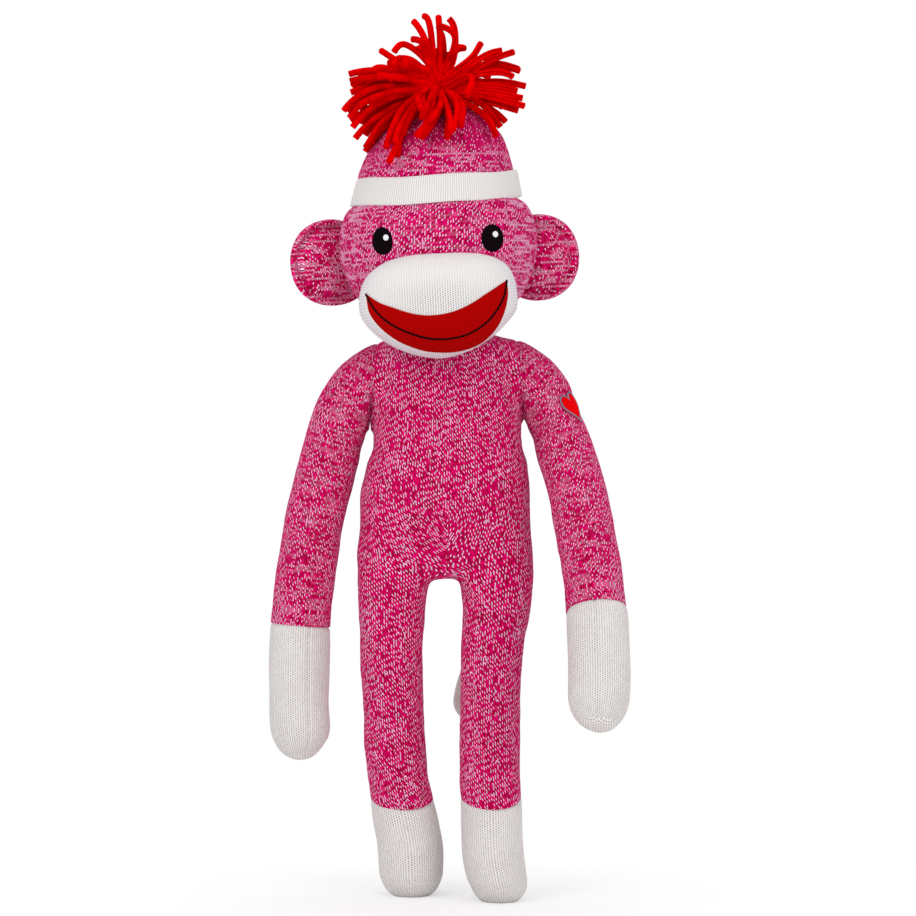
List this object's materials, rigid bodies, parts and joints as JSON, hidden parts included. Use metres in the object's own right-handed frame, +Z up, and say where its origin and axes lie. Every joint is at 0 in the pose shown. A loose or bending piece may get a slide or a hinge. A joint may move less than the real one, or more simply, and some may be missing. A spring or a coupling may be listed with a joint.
{
  "type": "stuffed sock monkey doll",
  "caption": "Standing stuffed sock monkey doll in marl knit, with a knitted hat, yarn pompom and long limbs that swing.",
  "frame": {"origin": "on the floor, at the middle of the doll's bounding box in plan", "axes": "+Z up through the head, -Y the way the face looks, +X towards the doll's own left arm"},
  "size_m": [0.202, 0.1542, 0.5032],
  "materials": {
    "marl_knit": "pink and white marl stockinette",
    "white_knit": "white stockinette",
    "red_knit": "red rib knit",
    "red_yarn": "plied yarn",
    "black_thread": "satin stitch thread",
    "white_thread": "stitch thread",
    "heart_red": "red stitched cloth",
    "slate_thread": "slate blue stitching",
    "fibre_fill": "loose fibre fill"
  },
  "bodies": {
    "torso": {"torso_cover": "marl_knit", "torso_stuffing": "fibre_fill"},
    "neck": {"neck_plug": "fibre_fill"},
    "head": {"head_cover": "marl_knit", "head_stuffing": "fibre_fill", "muzzle_cover": "white_knit", "muzzle_stuffing": "fibre_fill", "mouth_panel": "red_knit", "smile_stitching": "black_thread", "right_eye": "black_thread", "left_eye": "black_thread", "right_eye_glint": "white_thread", "left_eye_glint": "white_thread", "hat_crown": "marl_knit", "hat_stuffing": "fibre_fill", "hat_cuff": "white_knit", "pompom_tie": "red_yarn", "pompom": "red_yarn"},
    "right_ear": {"right_ear": "marl_knit"},
    "left_ear": {"left_ear": "marl_knit"},
    "right_arm": {"right_arm_cover": "marl_knit", "right_hand_cover": "white_knit", "right_arm_stuffing": "fibre_fill"},
    "left_arm": {"left_arm_cover": "marl_knit", "left_hand_cover": "white_knit", "left_arm_stuffing": "fibre_fill", "heart": "heart_red", "heart_border": "slate_thread"},
    "right_leg": {"right_leg_cover": "marl_knit", "right_foot_cover": "white_knit", "right_leg_stuffing": "fibre_fill"},
    "left_leg": {"left_leg_cover": "marl_knit", "left_foot_cover": "white_knit", "left_leg_stuffing": "fibre_fill"},
    "tail": {"tail": "marl_knit", "tail_tip": "white_knit"}
  },
  "joints": [
    {"name": "neck_turn", "type": "hinge", "parent": "torso", "child": "neck", "pos_m": [0, 0.0152, 0.321], "axis": [0, 0, 1], "range_deg": [-25, 25]},
    {"name": "neck_nod", "type": "hinge", "parent": "neck", "child": "head", "pos_m": [0, 0.0152, 0.321], "axis": [1, 0, 0], "range_deg": [-12, 6]},
    {"name": "right_ear_flop", "type": "hinge", "parent": "head", "child": "right_ear", "pos_m": [-0.05821, 0.0172, 0.36361], "axis": [-0.0523, 0, 0.9986], "range_deg": [-20, 20], "stiffness_Nm_per_rad": 0.005},
    {"name": "left_ear_flop", "type": "hinge", "parent": "head", "child": "left_ear", "pos_m": [0.04974, 0.0172, 0.36356], "axis": [-0.0523, 0, 0.9986], "range_deg": [-20, 20], "stiffness_Nm_per_rad": 0.005},
    {"name": "right_arm_swing", "type": "hinge", "parent": "torso", "child": "right_arm", "pos_m": [-0.0415, 0.0152, 0.295], "axis": [-1, 0, 0], "range_deg": [-45, 90]},
    {"name": "left_arm_swing", "type": "hinge", "parent": "torso", "child": "left_arm", "pos_m": [0.0415, 0.0152, 0.295], "axis": [-1, 0, 0], "range_deg": [-68, 67]},
    {"name": "right_leg_swing", "type": "hinge", "parent": "torso", "child": "right_leg", "pos_m": [-0.029, 0.0152, 0.193], "axis": [-1, 0, 0], "range_deg": [-8, 85]},
    {"name": "left_leg_swing", "type": "hinge", "parent": "torso", "child": "left_leg", "pos_m": [0.029, 0.0152, 0.193], "axis": [-1, 0, 0], "range_deg": [-8, 80]},
    {"name": "tail_lift", "type": "hinge", "parent": "torso", "child": "tail", "pos_m": [0, 0.05751, 0.222], "axis": [1, 0, 0], "range_deg": [0, 80]}
  ]
}
